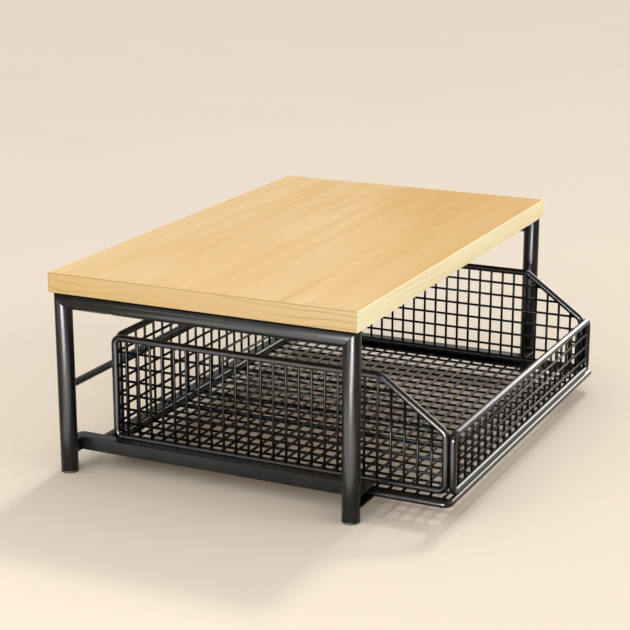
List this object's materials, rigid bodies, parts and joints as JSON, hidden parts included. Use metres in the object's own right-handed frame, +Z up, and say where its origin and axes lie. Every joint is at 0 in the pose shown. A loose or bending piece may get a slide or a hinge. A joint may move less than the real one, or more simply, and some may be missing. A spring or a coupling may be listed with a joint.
{
  "type": "worktop shelf with sliding basket",
  "caption": "Raised wood-look shelf on black tube frames with a wire-mesh basket drawer that slides forward on low runners.",
  "frame": {"origin": "under the middle of the whole object at rest, on the surface that it stands on", "axes": "+X to the right along the board's length, +Z up, the drawer pulls out towards -Y"},
  "size_m": [0.48, 0.371, 0.188],
  "materials": {
    "board_laminate": "pale wood-grain laminate, satin",
    "edge_band": "pale wood-grain edge strip, satin",
    "black_metal": "black powder coat, satin",
    "foot_plastic": "black moulded plastic",
    "screw_steel": "blackened steel"
  },
  "bodies": {
    "stand": {"top_board": "board_laminate", "front_edge_band": "edge_band", "rear_edge_band": "edge_band", "left_edge_band": "edge_band", "right_edge_band": "edge_band", "left_top_rail": "black_metal", "right_top_rail": "black_metal", "left_front_leg": "black_metal", "left_rear_leg": "black_metal", "right_front_leg": "black_metal", "right_rear_leg": "black_metal", "left_front_foot": "foot_plastic", "left_rear_foot": "foot_plastic", "right_front_foot": "foot_plastic", "right_rear_foot": "foot_plastic", "left_runner": "black_metal", "right_runner": "black_metal", "rear_stop_bar": "black_metal", "rear_crossbar": "black_metal", "board_screws": "screw_steel"},
    "drawer": {"base_loop": "black_metal", "base_cross_wires": "black_metal", "base_long_wires": "black_metal", "left_side_loop": "black_metal", "left_side_uprights": "black_metal", "left_side_levels": "black_metal", "right_side_loop": "black_metal", "right_side_uprights": "black_metal", "right_side_levels": "black_metal", "front_loop": "black_metal", "front_uprights": "black_metal", "front_levels": "black_metal", "back_loop": "black_metal", "back_uprights": "black_metal", "back_levels": "black_metal"}
  },
  "joints": [
    {"name": "drawer_slide", "type": "slide", "parent": "stand", "child": "drawer", "axis": [0, -1, 0], "range_m": [0, 0.18]}
  ]
}
